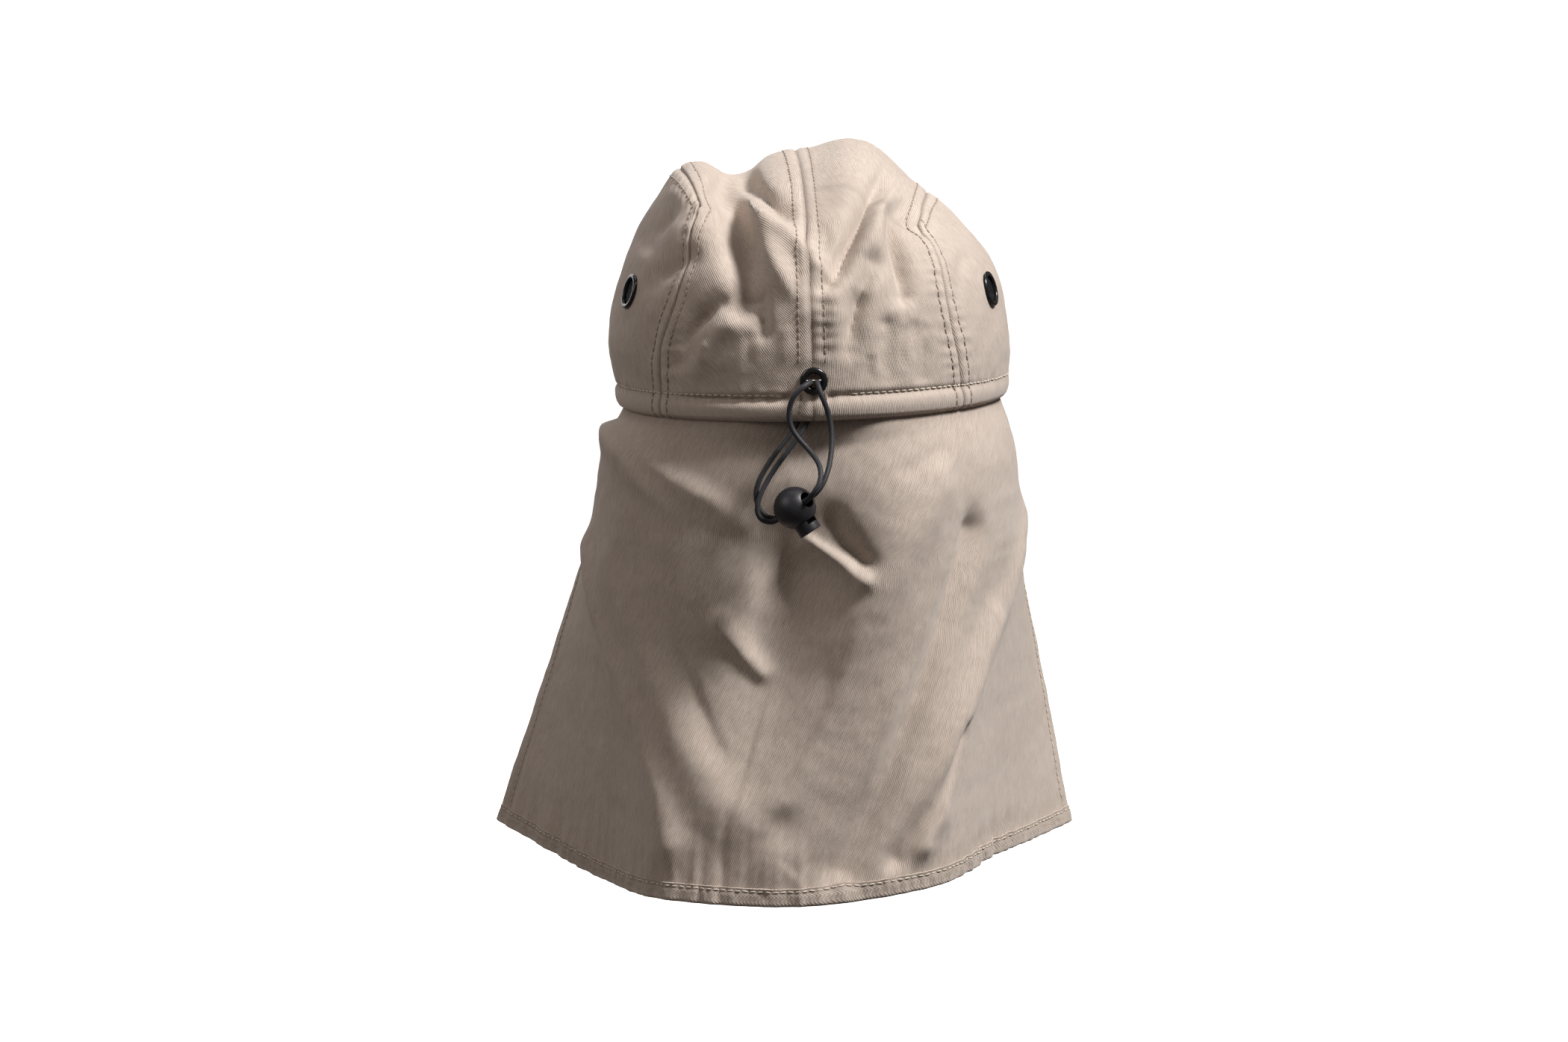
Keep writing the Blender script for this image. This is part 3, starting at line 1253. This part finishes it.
def makeRing(name, profile, place, node):
    # one circle, drawn out through the profile and closed on itself
    radius, height = profile[0]
    ring = add(bpy.ops.mesh.primitive_circle_add, vertices=ringSides, radius=radius * mm,
               fill_type="NOTHING", location=(0, 0, height * mm))
    ring.name = name
    ring.data.name = name
    bpy.ops.object.transform_apply(location=True, rotation=False, scale=False)
    bpy.ops.object.mode_set(mode="EDIT")
    bpy.ops.mesh.select_mode(type="EDGE")
    bpy.ops.mesh.select_all(action="SELECT")
    for nextRadius, nextHeight in profile[1:] + profile[:1]:
        bpy.ops.mesh.extrude_region_move(
            TRANSFORM_OT_translate={"value": (0, 0, (nextHeight - height) * mm)})
        grow = nextRadius / radius
        bpy.ops.transform.resize(value=(grow, grow, 1), center_override=(0, 0, nextHeight * mm))
        radius, height = nextRadius, nextHeight
    bpy.ops.mesh.select_all(action="SELECT")
    bpy.ops.mesh.remove_doubles(threshold=0.00002)
    bpy.ops.mesh.normals_make_consistent(inside=False)
    bpy.ops.object.mode_set(mode="OBJECT")
    placeInMesh(ring, place)
    smoothShade(ring, 42)
    dress(ring, glossEnamel, "cap", "black_enamel", node)


netValues = {
    "radius": 4.72 * mm,
    "pitch": 0.45 * mm,
    "wire": 0.14 * mm,
    "height": -0.35 * mm,
    "turns": (52, 142),
}


def makeNet(name, place, node):
    # one wire, copied into two layers of parallel wires across the ring
    wire = add(bpy.ops.mesh.primitive_cylinder_add, vertices=6, radius=netValues["wire"], depth=1,
               rotation=(0, math.pi / 2, 0))
    placeInMesh(wire, Matrix.Identity(4))
    wires = []
    count = int(netValues["radius"] / netValues["pitch"])
    for layer, degrees in enumerate(netValues["turns"]):
        for step in range(-count, count + 1):
            off = step * netValues["pitch"]
            half = math.sqrt(netValues["radius"]**2 - off**2)
            height = netValues["height"] + (layer - 0.5) * 1.5 * netValues["wire"]
            lie = Matrix.Rotation(math.radians(degrees), 4, "Z") @ Matrix.Translation((0, off, height))
            wires.append(copyPiece(wire, lie @ Matrix.Diagonal((2 * half, 1, 1, 1))))
    bpy.data.objects.remove(wire)
    net = joinPieces(name, wires)
    placeInMesh(net, place)
    smoothShade(net, 50)
    dress(net, netNylon, "cap", "black_mesh", node)


makeRing("eyelet_flange", ringProfiles["eyelet"], fittingFrame("eyelet"), "eyelet")
for side, spot in (("left", "ventLeft"), ("right", "ventRight")):
    place = fittingFrame(spot)
    makeRing(spot + "Ring", ringProfiles["vent"], place, "vent_ring_" + side)
    makeNet(spot + "Net", place, "vent_mesh_" + side)
print("eyelet and vents are set")


# Cord lock

lockValues = {
    "ball": 7.9 * mm,
    "spot": (7.0 * mm, 106.5 * mm, -31.4 * mm),
    "cordWay": (-0.61, 0.64, 0.467),
    "buttonWay": (-0.55, 0.072, -0.827),
    "cordHole": 3.0 * mm,
    "bore": 4.7 * mm,
    "boreDepth": 5.6 * mm,
    "button": 4.4 * mm,
    "buttonEnds": (-2.5 * mm, 10.9 * mm),
    "slotEnds": (-1.4 * mm, 8.0 * mm),
    "slotHalf": 2.6 * mm,
    "edge": 0.45 * mm,
    "cutter": 24 * mm,
}


def lockPlace():
    # its X is the cord's way and its Z is the button's way
    x, z = Vector(lockValues["cordWay"]).normalized(), Vector(lockValues["buttonWay"]).normalized()
    y = z.cross(x).normalized()
    x = y.cross(z)
    return Matrix.Translation(lockValues["spot"]) @ Matrix((x, y, z)).transposed().to_4x4()


def addRod(radius, low, high, turn=Matrix.Identity(4)):
    rod = add(bpy.ops.mesh.primitive_cylinder_add, vertices=72, radius=radius, depth=high - low,
              location=(0, 0, (low + high) / 2))
    placeInMesh(rod, turn)
    return rod


def cutAway(piece, cutter):
    applyModifier(piece, "BOOLEAN", operation="DIFFERENCE", solver="EXACT", object=cutter)
    bpy.data.objects.remove(cutter)


def makeLock():
    place = lockPlace()
    reach = lockValues["cutter"]
    ball = add(bpy.ops.mesh.primitive_uv_sphere_add, segments=96, ring_count=64, radius=lockValues["ball"])
    ball.name = "lockBall"
    cutAway(ball, addRod(lockValues["bore"], -lockValues["boreDepth"], reach))
    cutAway(ball, addRod(lockValues["cordHole"], -reach, reach, Matrix.Rotation(math.pi / 2, 4, "Y")))
    placeInMesh(ball, place)
    applyModifier(ball, "BEVEL", width=0.3 * mm, segments=3, limit_method="ANGLE",
                  angle_limit=math.radians(38), use_clamp_overlap=True)
    smoothShade(ball, 35)
    dress(ball, satinPlastic, "cap", "black_plastic", "lock_ball")

    button = addRod(lockValues["button"], *lockValues["buttonEnds"])
    button.name = "lockButton"
    applyModifier(button, "BEVEL", width=lockValues["edge"], segments=4, limit_method="ANGLE",
                  angle_limit=math.radians(40))
    low, high = lockValues["slotEnds"]
    slot = add(bpy.ops.mesh.primitive_cube_add, size=1, location=(0, 0, (low + high) / 2))
    slot.scale = (reach, 2 * lockValues["slotHalf"], high - low)
    placeInMesh(slot, Matrix.Identity(4))
    cutAway(button, slot)
    placeInMesh(button, place)
    smoothShade(button, 35)
    dress(button, satinPlastic, "button", "black_plastic", "lock_button")


makeLock()
print("cord lock is fitted")


# Stitches

stitchValues = {
    "pitch": 2.9 * mm,
    "length": 2.35 * mm,
    "width": 0.62 * mm,
    "height": 0.42 * mm,
    "sink": 0.02 * mm,
    "slant": 0.10,
}


def makeStitch():
    # one stitch: a small capsule lying along X
    stitch = add(bpy.ops.mesh.primitive_uv_sphere_add, segments=6, ring_count=6, radius=0.5,
                 rotation=(0, math.pi / 2, 0))
    stitch.scale = (stitchValues["height"], stitchValues["width"], stitchValues["length"])
    placeInMesh(stitch, Matrix.Identity(4))
    smoothShade(stitch, 80)
    return stitch


def lineAt(points, distance, offset, byRows=True):
    # the line over a grid where the distance from an edge has one value
    if not byRows:
        points, distance = np.swapaxes(points, 0, 1), distance.T
    line = []
    for row, away in zip(points, distance):
        order = np.argsort(away)
        line.append([np.interp(offset, away[order], row[order, axis]) for axis in range(3)])
    return np.array(line)


def sew(source, line, normals, keep=lambda point: True):
    runs = np.concatenate([[0], np.cumsum(np.linalg.norm(np.diff(line, axis=0), axis=1))])
    count = int(runs[-1] / stitchValues["pitch"])
    stitches = []
    for index in range(count):
        middle = (index + 0.5) * stitchValues["pitch"]
        ends = [Vector([np.interp(middle + half, runs, line[:, axis]) for axis in range(3)])
                for half in (-0.5 * stitchValues["length"], 0.5 * stitchValues["length"])]
        place = (ends[0] + ends[1]) / 2
        if not keep(place):
            continue
        out = Vector([np.interp(middle, runs, normals[:, axis]) for axis in range(3)]).normalized()
        along = (ends[1] - ends[0]).normalized()
        side = out.cross(along).normalized()
        out = along.cross(side)
        wobble = stitchValues["slant"] * math.sin(index * 2.1)
        along = (along + side * wobble).normalized()
        side = out.cross(along)
        turn = Matrix((along, side, out)).transposed().to_4x4()
        rise = 0.5 * stitchValues["height"] - stitchValues["sink"]
        stitches.append(copyPiece(source, Matrix.Translation(place + out * rise) @ turn))
    return stitches


def sewAlong(source, grids, distance, offset, byRows=True, ends=slice(None), keep=lambda point: True):
    # one row of stitches at an even distance from an edge
    line, outward = (lineAt(grid, distance, offset, byRows)[ends] for grid in grids)
    return sew(source, line, unit(outward), keep)


def sewCrown(source):
    khaki, cream = [], []
    for panel in panels:
        grids, offset = panel["grids"], seamLook["stitchOffset"]
        toFirst, toLast, toLow, toHigh = panel["edges"]
        for distance in (toFirst, toLast):
            khaki += sewAlong(source, grids, distance, offset, keep=aboveFittings)
        if not panel["isStrip"]:
            khaki += sewAlong(source, grids, toHigh, offset, False, slice(6, -6), aboveFittings)
        for distance in ((toLow, toHigh) if panel["isStrip"] else (toLow,)):
            cream += sewAlong(source, grids, distance, bandLook["stitchHeight"], False, keep=awayFromGap)
    return khaki, cream


def aboveFittings(point):
    clear = min((point - Vector(spot)).length for spot in fittingSpots)
    return clear > 7.6 * mm


def awayFromGap(point):
    return point.y < 0 or not -13.8 * mm < point.x < 11.0 * mm


def sewHem(source):
    outward = bindingPoints[0] - bindingPoints[-1]
    toTop = fromEdges(bindingPoints)[2]
    offset = bindingValues["height"] - bindingValues["stitchHeight"]
    line = lineAt(bindingPoints[:9], toTop[:9], offset, False)
    cream = sew(source, line, unit(outward))
    toFirst, toLast, toTop, toHem = fromEdges(flapPoints)
    normal = -gridNormals(flapPoints)
    if normal[len(normal) // 2, normal.shape[1] // 2, 1] < 0:
        normal = -normal
    for distance in (toFirst, toLast):
        cream += sewAlong(source, (flapPoints, normal), distance, hemLook["sideStitch"], ends=slice(8, -6))
    return cream


def sewPeak(source):
    khaki = []
    up = gridNormals(peakPoints)
    up = up * np.sign(up[..., 2:].mean())
    for row in peakForm["stitchRows"]:
        reaching = peakToRim[0] > row + 8 * mm
        grids = peakPoints[:, reaching], up[:, reaching]
        khaki += sewAlong(source, grids, peakToRim[:, reaching], row, False)
    return khaki


def makeStitches():
    source = makeStitch()
    khaki, cream = sewCrown(source)
    cream += sewHem(source)
    khaki += sewPeak(source)
    bpy.data.objects.remove(source)
    for name, stitches, thread in (("khakiStitches", khaki, khakiThread),
                                   ("creamStitches", cream, creamThread)):
        print(name, len(stitches))
        sewn = joinPieces(name, stitches)
        dress(sewn, thread, "cap", "crown_cotton")


makeStitches()
print("stitches are sewn")
